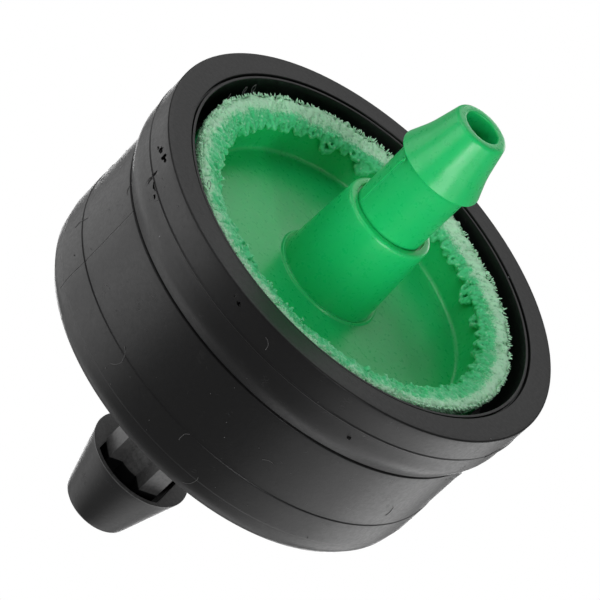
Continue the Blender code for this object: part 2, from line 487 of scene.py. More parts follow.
def make_seam_group():
    """A thin line where two mould halves met, in a plane through the turned axis."""
    group = Group(
        "mould_seam",
        [("Vector", "NodeSocketVector", None), ("Across", "NodeSocketVector", (0.0, 1.0, 0.0)),
         ("Width", "NodeSocketFloat", 0.05), ("Low", "NodeSocketFloat", 0.0),
         ("High", "NodeSocketFloat", 1.0)],
        [("Seam", "NodeSocketFloat")],
    )
    tree = group.tree
    place = group.entry.outputs["Vector"]
    wobble = group.add("ShaderNodeTexNoise", {"Vector": place, "Scale": 0.8, "Detail": 3.0})
    side = group.add("ShaderNodeVectorMath", {0: place, 1: group.entry.outputs["Across"]},
                     operation="DOT_PRODUCT")
    drift = maths(tree, "MULTIPLY", maths(tree, "SUBTRACT", wobble.outputs["Fac"], 0.5), 0.12)
    offset = maths(tree, "ABSOLUTE", maths(tree, "ADD", side.outputs["Value"], drift))
    width = group.entry.outputs["Width"]
    line = ramp(tree, offset, width, maths(tree, "MULTIPLY", width, 0.3))
    height = group.add("ShaderNodeSeparateXYZ", {0: place}).outputs["Z"]
    above = maths(tree, "GREATER_THAN", height, group.entry.outputs["Low"])
    below = maths(tree, "LESS_THAN", height, group.entry.outputs["High"])
    tree.links.new(maths(tree, "MULTIPLY", line, maths(tree, "MULTIPLY", above, below)),
                   group.exit.inputs["Seam"])
    return group.tree


seam_group = make_seam_group()
SEAM_TURN = math.radians(41.0)
SEAM_ACROSS = (-math.sin(SEAM_TURN), math.cos(SEAM_TURN), 0.0)
print("group", seam_group.name, "turned by %.0f degrees" % math.degrees(SEAM_TURN))

# %% [markdown]
# ## The plastics
#
# The housing is black polyethylene with a dull sheen that shows every scuff.
# The cover is a green acetal or polypropylene: strongly coloured, a little
# waxy, so light soaks in before it comes back. The weld's bead is the same
# green, but it was torn and stretched, which turns plastic pale.

# %% A helper for materials


class Plastic:
    """A Principled material with millimetre coordinates ready to use."""

    def __init__(self, name):
        self.material = bpy.data.materials.new(name)
        self.material.use_nodes = True
        self.tree = self.material.node_tree
        self.shader = self.tree.nodes["Principled BSDF"]
        coordinates = self.tree.nodes.new("ShaderNodeTexCoord")
        scaled = add_node(self.tree, "ShaderNodeVectorMath",
                          {0: coordinates.outputs["Object"], 1: (OBJECT_SCALE,) * 3}, operation="MULTIPLY")
        self.place = scaled.outputs[0]

    def group(self, tree, **values):
        """Place a node group; values are given by its input names, with _ for spaces."""
        node = self.tree.nodes.new("ShaderNodeGroup")
        node.node_tree = tree
        self.tree.links.new(self.place, node.inputs["Vector"])
        for key, value in values.items():
            node.inputs[key.replace("_", " ")].default_value = value
        return node

    def mix(self, mask, first, second):
        """Blend two colours or colour sockets by a mask."""
        node = add_node(self.tree, "ShaderNodeMix", data_type="RGBA")
        self.tree.links.new(mask, node.inputs["Factor"])
        for socket, value in ((node.inputs[6], first), (node.inputs[7], second)):
            if isinstance(value, bpy.types.NodeSocket):
                self.tree.links.new(value, socket)
            else:
                socket.default_value = (*value, 1.0)
        return node.outputs[2]

    def bump(self, height, distance, strength=1.0, normal=None):
        """A Bump node; distance is in millimetres."""
        node = add_node(self.tree, "ShaderNodeBump", {"Height": height, "Distance": distance * MM,
                                                      "Strength": strength})
        if normal is not None:
            self.tree.links.new(normal, node.inputs["Normal"])
        return node.outputs["Normal"]

    def finish(self, colour=None, roughness=None, normal=None):
        """Link the finished sockets to the shader."""
        for socket, label in ((colour, "Base Color"), (roughness, "Roughness"), (normal, "Normal")):
            if socket is not None:
                self.tree.links.new(socket, self.shader.inputs[label])
        return self.material


print("plastic helper ready")

# %% Black housing plastic
BLACK = (0.004, 0.004, 0.0043)
BLACK_WORN = (0.012, 0.012, 0.012)
DUST = (0.45, 0.45, 0.46)
# painted light: a paler grey for the stem and the barb's shoulder, where side light falls
NECK_PAINTED_LIGHT = (0.11, 0.11, 0.11)
NECK_Z = (-3.93, -0.3)


def neck_painted_light(plastic, mottle):
    """A mask of painted light: the stem and the barb's shoulder, broken up by the grain's mottle, are
    painted a paler grey where side light falls on them.
    """
    tree = plastic.tree
    height = add_node(tree, "ShaderNodeSeparateXYZ", {0: plastic.place}).outputs["Z"]
    low, high = NECK_Z
    mask = maths(tree, "MULTIPLY", ramp(tree, height, low - 0.05, low), ramp(tree, height, high, high - 0.3))
    return maths(tree, "MULTIPLY", mask, ramp(tree, mottle, 0.2, 0.7, 0.5, 1.0))


def make_black_plastic():
    """Dull black polyethylene with scuffs, scratches, specks, a mould seam, and painted light on the stem
    and the barb's shoulder.
    """
    plastic = Plastic("black_plastic")
    plastic.shader.inputs["Specular IOR Level"].default_value = 0.36
    grain = plastic.group(grain_group, Fine_Scale=5.0, Wave_Scale=0.3, Wave_Share=0.5)
    scuffs = plastic.group(scuff_group, Scale=0.7, Amount=0.45)
    specks = plastic.group(speck_group, Scale=0.9, Size=0.08)
    seam = plastic.group(seam_group, Across=SEAM_ACROSS, Width=0.045, Low=5.0, High=RIM_Z - 3.7)
    colour = plastic.mix(scuffs.outputs["Patches"], BLACK, BLACK_WORN)
    colour = plastic.mix(scuffs.outputs["Scratches"], colour, (0.05, 0.05, 0.05))
    colour = plastic.mix(seam.outputs["Seam"], colour, (0.004, 0.004, 0.004))
    colour = plastic.mix(specks.outputs["Specks"], colour, DUST)
    base = ramp(plastic.tree, grain.outputs["Mottle"], 0.3, 0.7, 0.33, 0.42)
    # Painted light: the stem and the barb's shoulder turn a paler grey.
    colour = plastic.mix(neck_painted_light(plastic, grain.outputs["Mottle"]), colour, NECK_PAINTED_LIGHT)
    scuffed = maths(plastic.tree, "MULTIPLY", scuffs.outputs["Patches"], 0.08)
    rough = maths(plastic.tree, "ADD", base, scuffed)
    normal = plastic.bump(grain.outputs["Height"], 0.012)
    cuts = maths(plastic.tree, "MULTIPLY", scuffs.outputs["Scratches"], -0.5)
    cuts = maths(plastic.tree, "SUBTRACT", cuts, seam.outputs["Seam"])
    cuts = maths(plastic.tree, "ADD", cuts, specks.outputs["Specks"])
    normal = plastic.bump(cuts, 0.03, normal=normal)
    return plastic.finish(colour, rough, normal)


black_plastic = make_black_plastic()
print("material", black_plastic.name)

# %% Green cover plastic
GREEN = (0.008, 0.51, 0.135)
GREEN_THIN = (0.03, 0.60, 0.22)


def make_green_plastic():
    """Waxy green plastic, smooth, with faint mould marks and a seam up the nozzle."""
    plastic = Plastic("green_plastic")
    plastic.shader.inputs["Subsurface Weight"].default_value = 0.25
    plastic.shader.inputs["Subsurface Radius"].default_value = (0.2, 1.0, 0.4)
    plastic.shader.inputs["Subsurface Scale"].default_value = 0.6 * MM
    plastic.shader.inputs["IOR"].default_value = 1.5
    grain = plastic.group(grain_group, Fine_Scale=3.0, Wave_Scale=1.1, Wave_Share=1.0)
    scuffs = plastic.group(scuff_group, Scale=0.45, Amount=0.3)
    seam = plastic.group(seam_group, Across=SEAM_ACROSS, Width=0.035, Low=RIM_Z + 2.0, High=RIM_Z + 5.9)
    mottle = ramp(plastic.tree, grain.outputs["Mottle"], 0.25, 0.75)
    colour = plastic.mix(mottle, GREEN, tuple(1.06 * part for part in GREEN))
    colour = plastic.mix(seam.outputs["Seam"], colour, GREEN_THIN)
    rough = ramp(plastic.tree, grain.outputs["Mottle"], 0.3, 0.7, 0.26, 0.34)
    scuffed = maths(plastic.tree, "MULTIPLY", scuffs.outputs["Patches"], 0.15)
    rough = maths(plastic.tree, "ADD", rough, scuffed)
    normal = plastic.bump(grain.outputs["Height"], 0.02)
    normal = plastic.bump(seam.outputs["Seam"], 0.02, normal=normal)
    return plastic.finish(colour, rough, normal)


green_plastic = make_green_plastic()
print("material", green_plastic.name)

# %% Torn, pale weld plastic
FLASH_PALE = (0.47, 0.84, 0.56)
FLASH_GREEN = (0.06, 0.64, 0.25)
# painted shade: the deep green that darkens the bead's creases
FLASH_CREASE_SHADE = (0.004, 0.36, 0.11)
WHITENED_R = (9.0, 9.45)  # the bead turns pale between these radii
UNEVEN_HEAT = 0.045       # how much further in it is pale on one side


def bead_radius(plastic, wander):
    """Distance from the axis in millimetres, shifted by noise and towards the hotter side."""
    tree = plastic.tree
    split = add_node(tree, "ShaderNodeSeparateXYZ", {0: plastic.place})
    squares = [maths(tree, "MULTIPLY", split.outputs[axis], split.outputs[axis]) for axis in "XY"]
    radius = maths(tree, "SQRT", maths(tree, "ADD", squares[0], squares[1]))
    shift = maths(tree, "MULTIPLY", maths(tree, "SUBTRACT", wander, 0.5), 1.8)
    tilt = maths(tree, "MULTIPLY", split.outputs["Y"], UNEVEN_HEAT)
    return maths(tree, "ADD", maths(tree, "ADD", radius, shift), tilt)


def make_flash_plastic():
    """Stretched green plastic, whitened towards the outer edge and on its ridges, with painted shade: a deep
    green in its creases.
    """
    plastic = Plastic("weld_flash_plastic")
    tree = plastic.tree
    plastic.shader.inputs["Subsurface Weight"].default_value = 0.15
    plastic.shader.inputs["Subsurface Radius"].default_value = (0.3, 1.0, 0.5)
    plastic.shader.inputs["Subsurface Scale"].default_value = 0.2 * MM
    grain = plastic.group(grain_group, Fine_Scale=9.0, Wave_Scale=1.6, Wave_Share=0.4)
    outward = ramp(tree, bead_radius(plastic, grain.outputs["Height"]), *WHITENED_R)
    shape = add_node(tree, "ShaderNodeNewGeometry")
    # Painted shade: creases, told by their low pointiness, are darkened to a deep green.
    crease_shade = ramp(tree, shape.outputs["Pointiness"], 0.52, 0.42)
    ridge = ramp(tree, shape.outputs["Pointiness"], 0.53, 0.62)
    colour = plastic.mix(outward, FLASH_GREEN, FLASH_PALE)
    colour = plastic.mix(maths(tree, "MULTIPLY", ridge, 0.45), colour, FLASH_PALE)
    colour = plastic.mix(maths(tree, "MULTIPLY", crease_shade, 0.8), colour, FLASH_CREASE_SHADE)
    rough = ramp(tree, grain.outputs["Mottle"], 0.3, 0.7, 0.32, 0.6)
    normal = plastic.bump(grain.outputs["Height"], 0.06)
    return plastic.finish(colour, rough, normal)


flash_plastic = make_flash_plastic()
print("material", flash_plastic.name)

# %% [markdown]
# ## Black housing
#
# The housing is one turned moulding: a rim with a shallow groove inside it, a
# collar with a step, a straight wall, a lower band and a rounded bottom, then
# the seat, a ribbed stem and the barb. Its outline is swept in one go. The
# pocket in the barb's shoulder, the four ribs and the knocks that a dripper
# gets in its bag can't be swept, so exact Booleans cut and join them.

# %% Housing outline
HOUSING_SEGMENTS = 384
RIM_INNER_R = 10.88
MOUTH_R = 10.62
GROOVE_DEPTH = 0.28
BAND_R = 12.22            # collar below its small step
STEP_Z = 13.43
FOOT_Z = 11.33            # where the collar has run out into the wall
WALL_R = 11.79
LOW_BAND_R = 11.83
LOW_STEP_Z = 7.15
BOTTOM_Z = 3.9
BOTTOM_ROUND = 1.5
FLOOR_Z = 5.4             # floor inside the housing
WELD_BORE = (10.2, 11.5)  # radius, and height of its top
SEAT_R = 4.0
STEM_R = 1.5
SHOULDER = (3.1, -3.9)    # radius and height of the barb's shoulder
INLET_TIP_R = 2.0
BORE_R = 1.0


def housing_corners():
    """Corners (radius, height, rounding) of the housing, from the rim down the outside."""
    return [
        (RIM_INNER_R, RIM_Z, 0.05),
        (COLLAR_R - 0.01, RIM_Z, 0.10),
        (COLLAR_R - 0.03, STEP_Z + 0.10, 0.02),
        (COLLAR_R + 0.01, STEP_Z, 0.03),
        (BAND_R, STEP_Z - 0.08, 0.02),
        (BAND_R, STEP_Z - 1.28, 0.4),
        (WALL_R + 0.02, FOOT_Z, 0.02),
        (WALL_R - 0.12, FOOT_Z - 0.09, 0.03),
        (WALL_R, FOOT_Z - 0.17, 0.03),
        (WALL_R, LOW_STEP_Z + 0.06, 0.03),
        (LOW_BAND_R, LOW_STEP_Z, 0.03),
        (LOW_BAND_R, BOTTOM_Z + BOTTOM_ROUND + 0.1, 0.03),
        (LOW_BAND_R - 0.03, BOTTOM_Z + BOTTOM_ROUND, 0.02),
        (LOW_BAND_R - 0.03, BOTTOM_Z, BOTTOM_ROUND - 0.05),
        (SEAT_R + 0.7, BOTTOM_Z, 0.4),
        (SEAT_R, 0.0, 0.2),
        (STEM_R, 0.0, 0.0),
        (STEM_R, SHOULDER[1], 0.0),
        (SHOULDER[0], SHOULDER[1], 0.05),
        (INLET_TIP_R, INLET_TIP_Z, 0.22),
        (BORE_R, INLET_TIP_Z, 0.08),
        (BORE_R, FLOOR_Z, 0.1),
        (WELD_BORE[0], FLOOR_Z, 0.2),
        (WELD_BORE[0], WELD_BORE[1], 0.05),
        (MOUTH_R, WELD_BORE[1], 0.05),
        (MOUTH_R, RIM_Z - 0.07, 0.04),
        (RIM_INNER_R - 0.10, RIM_Z - 0.07, 0.03),
        (RIM_INNER_R - 0.09, RIM_Z - GROOVE_DEPTH, 0.02),
        (RIM_INNER_R - 0.01, RIM_Z - GROOVE_DEPTH, 0.02),
    ]


housing_outline = divided(rounded(housing_corners()), 0.4)
print(len(housing_outline), "points round the housing's outline")

# %% Solid helpers


def join_meshes(parts):
    """Join (points, faces) pairs into one pair."""
    points = []
    faces = []
    for verts, polygons in parts:
        start = len(points)
        points.extend(np.asarray(verts).reshape(-1, 3).tolist())
        faces.extend(tuple(index + start for index in face) for face in polygons)
    return points, faces


def block(size, centre, turn):
    """Points and faces of a box, turned about +Z; lengths in millimetres."""
    corners = np.array([(x, y, z) for x in (-0.5, 0.5) for y in (-0.5, 0.5) for z in (-0.5, 0.5)]) * size
    spin = np.array(Matrix.Rotation(turn, 3, "Z"))
    faces = [(0, 1, 3, 2), (4, 6, 7, 5), (0, 4, 5, 1), (2, 3, 7, 6), (0, 2, 6, 4), (1, 5, 7, 3)]
    return corners @ spin.T + np.array(centre), faces


def lump(centre, size, roughness, seed, detail=2):
    """Points and faces of a rough pebble; size is its three half-lengths."""
    shape = bmesh.new()
    bmesh.ops.create_icosphere(shape, subdivisions=detail, radius=1.0)
    points = []
    for vert in shape.verts:
        swell = 1.0 + roughness * noise.noise(vert.co * 1.7 + Vector((seed * 7.1, seed * 3.3, 0.0)))
        points.append([vert.co[axis] * size[axis] * swell for axis in range(3)])
    shape.verts.index_update()
    faces = [tuple(vert.index for vert in face.verts) for face in shape.faces]
    shape.free()
    return np.array(points) + np.array(centre), faces


def on_wall(azimuth, height, radius):
    """A point at an azimuth in degrees, a height and a radius in millimetres."""
    turn = math.radians(azimuth)
    return np.array([radius * math.cos(turn), radius * math.sin(turn), height])


def boolean(piece, tool, operation):
    """Join or cut a piece with a tool, apply it, and delete the tool."""
    step = piece.modifiers.new("boolean", "BOOLEAN")
    step.operation = operation
    step.solver = "EXACT"
    step.object = tool
    graph = bpy.context.evaluated_depsgraph_get()
    mesh = bpy.data.meshes.new_from_object(piece.evaluated_get(graph))
    piece.modifiers.clear()
    piece.data = mesh
    bpy.data.objects.remove(tool, do_unlink=True)


def read_points(mesh):
    """All of a mesh's points, as an array."""
    flat = np.empty(3 * len(mesh.vertices), np.float32)
    mesh.vertices.foreach_get("co", flat)
    return flat.reshape(-1, 3).astype(float)


def write_points(mesh, points):
    """Move all of a mesh's points at once."""
    mesh.vertices.foreach_set("co", points.astype(np.float32).ravel())
    mesh.update()


def shade(piece, sharp=40.0):
    """Smooth shading that keeps edges sharper than an angle in degrees."""
    piece.data.shade_smooth()
    piece.data.set_sharp_from_angle(angle=math.radians(sharp))


print("solid helpers ready")

# %% Barb details and knocks
RIB_T = 1.2
RIB_REACH = 2.25
POCKET_HALF = 2.1
POCKET_LIP_R = 2.85
POCKET_DEPTH = 0.9
# azimuth in degrees, height, half-width, half-height and depth in millimetres
KNOCKS = [
    (-141.5, 14.47, 0.26, 0.20, 0.16),
    (-144.8, 14.30, 0.22, 0.15, 0.11),
    (-146.4, 14.12, 0.12, 0.12, 0.08),
    (-139.9, 13.44, 0.14, 0.42, 0.10),
    (-137.0, 13.36, 0.30, 0.12, 0.10),
    (-134.6, 13.18, 0.14, 0.10, 0.07),
    (-99.7, 14.45, 0.13, 0.10, 0.08),
    (-101.6, 14.50, 0.06, 0.06, 0.04),
    (-60.0, 12.70, 0.10, 0.08, 0.05),
    (40.0, 9.00, 0.14, 0.10, 0.06),
    (120.0, 13.90, 0.16, 0.12, 0.07),
]


def pocket_tool():
    """The relief in the barb's shoulder: a disc cut down to a band between two straight sides."""
    low = SHOULDER[1] - POCKET_DEPTH
    high = SHOULDER[1] + 0.5
    inner = STEM_R - 0.02
    disc = [(inner, high, 0), (POCKET_LIP_R, high, 0), (POCKET_LIP_R, low, 0), (inner, low, 0)]
    outline = rounded(disc)
    segments = 96
    faces = ring_faces(segments, len(outline))
    pocket = mesh_object("pocket", swept(outline, segments), faces, black_plastic)
    size = (2 * POCKET_HALF, 4 * SHOULDER[0], POCKET_DEPTH + 2.0)
    band = mesh_object("band", *block(size, (0.1, 0.0, (low + high) / 2), 0.0), black_plastic)
    boolean(pocket, band, "INTERSECT")
    return pocket


def rib_tool():
    """The four ribs round the stem, as one tool."""
    bottom = SHOULDER[1] - POCKET_DEPTH - 0.2
    top = 0.2
    length = RIB_REACH - BORE_R - 0.2
    reach = RIB_REACH - length / 2
    ribs = []
    for index in range(4):
        turn = SEAM_TURN + index * math.pi / 2
        place = (reach * math.cos(turn), reach * math.sin(turn), (top + bottom) / 2)
        ribs.append(block((length, RIB_T, top - bottom), place, turn))
    return mesh_object("ribs", *join_meshes(ribs), black_plastic)


def knock_tool():
    """Rough pebbles that leave small dents where they cut into the wall."""
    pebbles = []
    for seed, (azimuth, height, wide, high, deep) in enumerate(KNOCKS):
        radius = COLLAR_R if height > STEP_Z else BAND_R
        centre = on_wall(azimuth, height, radius if height > FOOT_Z else WALL_R)
        points, faces = lump((0, 0, 0), (2 * deep, wide, high), 1.1, seed)
        spin = np.array(Matrix.Rotation(math.radians(azimuth), 3, "Z"))
        pebbles.append((points @ spin.T + centre, faces))
    return mesh_object("knocks", *join_meshes(pebbles), black_plastic)


print(len(KNOCKS), "knocks")

# %% Make the housing


def make_housing():
    """The swept housing with its pocket, ribs and knocks."""
    points = swept(housing_outline, HOUSING_SEGMENTS)
    faces = ring_faces(HOUSING_SEGMENTS, len(housing_outline))
    housing = mesh_object("housing_shell", points, faces, black_plastic)
    boolean(housing, pocket_tool(), "DIFFERENCE")
    boolean(housing, rib_tool(), "UNION")
    boolean(housing, knock_tool(), "DIFFERENCE")
    shade(housing, 35.0)
    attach(housing, "housing")
    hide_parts("body")
    return housing


housing = make_housing()
print("housing:", len(housing.data.polygons), "faces")

# %% [markdown]
# ## Green cover
#
# The cover is another turned moulding: a shallow cup with a boss in the middle,
# a slim stem and a cone that a micro-tube is pushed over. A narrow groove runs
# round the foot of the stem, and the mould left a thin raised seam up the stem
# that ends in a tiny curl of flash under the cone. The seam and the curl are
# thin tubes sunk halfway into the surface.

# %% Cover outline
COVER_SEGMENTS = 256
COVER_R = 9.9
CUP_TOP_Z = 13.7
CUP_TOP_INNER_R = 8.62
CUP_FOOT_INNER_R = 8.45
CUP_FLOOR_Z = 12.0
FOOT_ROUND = 0.3          # between the cup's floor and its wall
BOSS_TOP_Z = 17.0
BOSS_TOP_R = 2.56
BOSS_BASE_R = 2.78
FLANGE_R = 3.05
OUTLET_STEM_R = 2.05
NOZZLE_Z = 20.82
NOZZLE_R = 2.46
WAIST = (1.96, 22.1)
NOZZLE_TIP_R = 1.53
SKIRT = (8.8, 9.0)
VALVE_SEAT = (2.2, 10.3)


def cover_corners():
    """Corners (radius, height, rounding) of the cover, from the nozzle's tip down."""
    under = CUP_FLOOR_Z - 1.0
    return [
        (BORE_R, NOZZLE_TIP_Z, 0.10),
        (NOZZLE_TIP_R, NOZZLE_TIP_Z, 0.22),
        (WAIST[0], WAIST[1], 0.5),
        (NOZZLE_R, NOZZLE_Z, 0.14),
        (OUTLET_STEM_R, NOZZLE_Z, 0.06),
        (OUTLET_STEM_R, BOSS_TOP_Z - 0.12, 0.02),
        (OUTLET_STEM_R + 0.09, BOSS_TOP_Z - 0.12, 0.02),
        (OUTLET_STEM_R + 0.11, BOSS_TOP_Z, 0.03),
        (BOSS_TOP_R, BOSS_TOP_Z, 0.2),
        (BOSS_BASE_R + 0.02, CUP_FLOOR_Z + 0.06, 0.04),
        (FLANGE_R - 0.08, CUP_FLOOR_Z + 0.13, 0.05),
        (FLANGE_R, CUP_FLOOR_Z, 0.04),
        (CUP_FOOT_INNER_R, CUP_FLOOR_Z, FOOT_ROUND),
        (CUP_TOP_INNER_R, CUP_TOP_Z, 0.1),
        (COVER_R, CUP_TOP_Z, 0.1),
        (COVER_R, SKIRT[1], 0.15),
        (SKIRT[0], SKIRT[1], 0.1),
        (SKIRT[0], under, 0.2),
        (VALVE_SEAT[0], under, 0.1),
        (VALVE_SEAT[0] - 0.3, VALVE_SEAT[1], 0.08),
        (BORE_R, VALVE_SEAT[1], 0.05),
    ]


print("cover's cup is %.1f mm deep" % (CUP_TOP_Z - CUP_FLOOR_Z))

# %% Tubes along a path


def tube(path, radii, sides=8):
    """Points and faces of a closed tube along a path of points; one radius for each point."""
    path = [Vector(point) for point in path]
    rings = []
    normal = None
    for index, point in enumerate(path):
        ahead = path[min(index + 1, len(path) - 1)] - path[max(index - 1, 0)]
        ahead.normalize()
        if normal is None:
            normal = ahead.orthogonal().normalized()
        normal = (normal - ahead * normal.dot(ahead)).normalized()
        across = ahead.cross(normal)
        for side in range(sides):
            turn = 2 * math.pi * side / sides
            offset = normal * math.cos(turn) + across * math.sin(turn)
            rings.append(point + offset * radii[index])
    faces = [tuple(reversed(range(sides)))]
    for index in range(len(path) - 1):
        start = index * sides
        for side in range(sides):
            other = (side + 1) % sides
            faces.append((start + side, start + other, start + sides + other, start + sides + side))
    last = (len(path) - 1) * sides
    faces.append(tuple(last + side for side in range(sides)))
    return np.array([list(point) for point in rings]), faces


print("tube helper ready")

# %% Make the cover
STEM_SEAM_AZIMUTH = -142.0


def stem_seam():
    """The raised mould seam on the stem, both sides, and the curl at its top."""
    rng = random.Random(5)
    parts = []
    for azimuth in (STEM_SEAM_AZIMUTH, STEM_SEAM_AZIMUTH + 180.0):
        heights = np.linspace(BOSS_TOP_Z + 0.02, NOZZLE_Z - 0.45, 16)
        path = [on_wall(azimuth + rng.uniform(-0.35, 0.35), height, OUTLET_STEM_R) for height in heights]
        parts.append(tube(path, [0.035 + rng.uniform(-0.006, 0.01) for _ in heights]))
    turns = np.linspace(0.0, 1.5 * math.pi, 14)
    curl = []
    for index, turn in enumerate(turns):
        lift = NOZZLE_Z - 0.40 + 0.13 * math.sin(turn) + 0.05
        azimuth = STEM_SEAM_AZIMUTH + 3.6 * (1.0 - math.cos(turn))
        curl.append(on_wall(azimuth, lift, OUTLET_STEM_R + 0.05 + 0.01 * index))
    parts.append(tube(curl, np.linspace(0.06, 0.035, len(curl))))
    return join_meshes(parts)


def make_cover():
    """The swept cover, with the raised seam joined on."""
    outline = divided(rounded(cover_corners(), 6), 0.5)
    points = swept(outline, COVER_SEGMENTS)
    faces = ring_faces(COVER_SEGMENTS, len(outline))
    cover = mesh_object("green_cover", points, faces, green_plastic)
    seam = mesh_object("seam", *stem_seam(), green_plastic)
    boolean(cover, seam, "UNION")
    shade(cover, 35.0)
    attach(cover, "housing")
    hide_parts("cover")
    return cover


cover = make_cover()
print("cover:", len(cover.data.polygons), "faces")

# %% [markdown]
# ## Weld bead
#
# The cover is friction-welded or ultrasonically welded into the housing. Molten
# plastic is pushed out as a ragged bead on the cup's wall: torn and whitened
# outside, where it ends in a fringe, and curled into small folds inside. A
# ring with a sloping top gives its bulk, bent tubes give the folds, and a voxel
# remesh melts them into one skin. That is done at one unit to the millimetre,
# so that the voxel's size reads as a plain length. The fringe is too thin for
# voxels, so it is planted afterwards.

# %% Bead's ring and folds
BEAD_SEGMENTS = 720
BEAD_TOP_Z = 14.5
BEAD_FOOT_Z = CUP_TOP_Z - 0.06
BEAD_OUTER_R = 9.95
BEAD_INNER_R = 8.45
BEAD_VOXEL = 0.055
WISPS = 260               # torn lumps at each edge of the bead
bead_random = random.Random(11)


def bead_ring():
    """A ring whose radius, height and width wander as a squeezed-out bead's do."""
    corners = [
        (BEAD_OUTER_R - 0.15, BEAD_FOOT_Z, 0.05),
        (BEAD_OUTER_R, BEAD_TOP_Z - 0.15, 0.2),
        (BEAD_OUTER_R - 0.35, BEAD_TOP_Z, 0.15),
        (BEAD_INNER_R + 0.3, BEAD_TOP_Z - 0.28, 0.15),
        (BEAD_INNER_R, BEAD_TOP_Z - 0.5, 0.15),
        (BEAD_INNER_R + 0.1, BEAD_FOOT_Z, 0.05),
    ]
    outline = divided(rounded(corners), 0.12)
    points = swept(outline, BEAD_SEGMENTS)
    for ring in points:
        for place in ring:
            spot = Vector(place)
            out = Vector((place[0], place[1], 0.0)).normalized()
            height = (place[2] - BEAD_FOOT_Z) / (BEAD_TOP_Z - BEAD_FOOT_Z)
            wander = 0.22 * noise.noise(spot * 0.45) + 0.12 * noise.noise(spot * 1.4)
            ragged = 0.10 * noise.noise(spot * 4.0) + 0.06 * noise.noise(spot * 9.0)
            place += np.array(out * (wander + ragged) * height)
            place[2] += (0.16 * noise.noise(spot * 0.7 + Vector((9, 0, 0))) + 0.5 * ragged) * height
    return points, ring_faces(BEAD_SEGMENTS, len(outline))


def fold(azimuth, width, drop, thick):
    """One fold of the bead: a bent tube that hangs inwards over the cup's wall."""
    steps = 11
    path = []
    lean = bead_random.uniform(-0.25, 0.25)
    swell = bead_random.uniform(-0.05, 0.30)
    for step in range(steps):
        t = step / (steps - 1)
        sag = math.sin(math.pi * t)
        along = width * (t - 0.5 + lean * sag) / BEAD_INNER_R
        radius = BEAD_INNER_R + 0.18 - (0.12 + swell) * sag
        height = BEAD_TOP_Z - 0.38 - drop * sag
        path.append(on_wall(azimuth + math.degrees(along), height, radius))
    radii = [thick * (0.8 + 0.45 * math.sin(math.pi * step / (steps - 1))) for step in range(steps)]
    return tube(path, radii, 8)


def bead_folds():
    """Small folds side by side all round the inner edge, with large ones hanging between them."""
    folds = []
    azimuth = 0.0
    while azimuth < 360.0:
        width = bead_random.uniform(0.35, 0.75)
        drop = width * bead_random.uniform(0.35, 0.75)
        folds.append(fold(azimuth, width, drop, bead_random.uniform(0.08, 0.13)))
        azimuth += math.degrees(width * bead_random.uniform(0.6, 1.1) / BEAD_INNER_R)
    azimuth = 0.0
    while azimuth < 360.0:
        width = bead_random.uniform(0.75, 1.25)
        drop = width * bead_random.uniform(0.5, 0.75)
        folds.append(fold(azimuth, width, drop, bead_random.uniform(0.13, 0.18)))
        azimuth += math.degrees(width * bead_random.uniform(1.1, 2.2) / BEAD_INNER_R)
    return folds


def wisps(count, low_r, high_r, low_z, high_z, size):
    """Small torn lumps strewn between two radii."""
    lumps = []
    for index in range(count):
        centre = on_wall(bead_random.uniform(0, 360), bead_random.uniform(low_z, high_z),
                         bead_random.uniform(low_r, high_r))
        half = [size * bead_random.uniform(0.6, 1.5) for _ in range(3)]
        lumps.append(lump(centre, half, 1.2, index, detail=1))
    return lumps


folds = bead_folds()
print(len(folds), "folds round the bead")

# %% Melt the bead into one skin


def make_bead():
    """Ring, folds and lumps, remeshed together and roughened along the radius."""
    parts = [bead_ring()] + folds
    outer = (BEAD_OUTER_R - 0.5, BEAD_OUTER_R + 0.05)
    inner = (BEAD_INNER_R - 0.05, BEAD_INNER_R + 0.4)
    parts += wisps(WISPS, *outer, BEAD_TOP_Z - 0.3, BEAD_TOP_Z + 0.05, 0.09)
    parts += wisps(WISPS, *inner, BEAD_TOP_Z - 0.6, BEAD_TOP_Z - 0.2, 0.10)
    points, faces = join_meshes(parts)
    bead = mesh_object("weld_bead", np.array(points) / MM, faces, flash_plastic)
    melt = bead.modifiers.new("melt", "REMESH")
    melt.mode = "VOXEL"
    melt.voxel_size = BEAD_VOXEL
    graph = bpy.context.evaluated_depsgraph_get()
    mesh = bpy.data.meshes.new_from_object(bead.evaluated_get(graph))
    bead.modifiers.clear()
    bead.data = mesh
    places = read_points(mesh)
    normals = np.array([vert.normal[:] for vert in mesh.vertices])
    relief = []
    for spot in map(Vector, places):
        turn = math.atan2(spot.y, spot.x)
        fibre = Vector((turn * 40.0, spot.xy.length * 2.2, spot.z * 3.0))
        relief.append(0.09 * noise.noise(fibre) + 0.04 * noise.noise(spot * 9.0))
    write_points(mesh, (places + normals * np.array(relief)[:, None]) * MM)
    if not mesh.materials:
        mesh.materials.append(flash_plastic)
    return bead


bead = make_bead()
print("bead:", len(bead.data.polygons), "faces")

# %% Plant the fringe
OUTER_BRISTLES = 3000
TOP_BRISTLES = 1500


def bristle(root, direction, length, thick):
    """A tapering, slightly bent hair of plastic."""
    bend = Vector([bead_random.uniform(-1, 1) for _ in range(3)]) * length * 0.25
    root = Vector(root)
    path = [root, root + direction * length * 0.5 + bend * 0.3, root + direction * length + bend]
    return tube(path, (thick, thick * 0.85, thick * 0.45), 5)


def lean(azimuth, spread, low, high):
    """A direction near an azimuth, leaning sideways by up to spread degrees and upwards."""
    turn = azimuth + bead_random.uniform(-spread, spread)
    return Vector(on_wall(turn, bead_random.uniform(low, high), 1.0))


def outer_bristle():
    """One bristle on the bead's outer edge."""
    azimuth = bead_random.uniform(0, 360)
    height = BEAD_TOP_Z - bead_random.uniform(0.0, 0.45)
    root = on_wall(azimuth, height, BEAD_OUTER_R - 0.08)
    direction = lean(azimuth, 25, -0.1, 0.7)
    return bristle(root, direction, bead_random.uniform(0.09, 0.19), bead_random.uniform(0.03, 0.05))


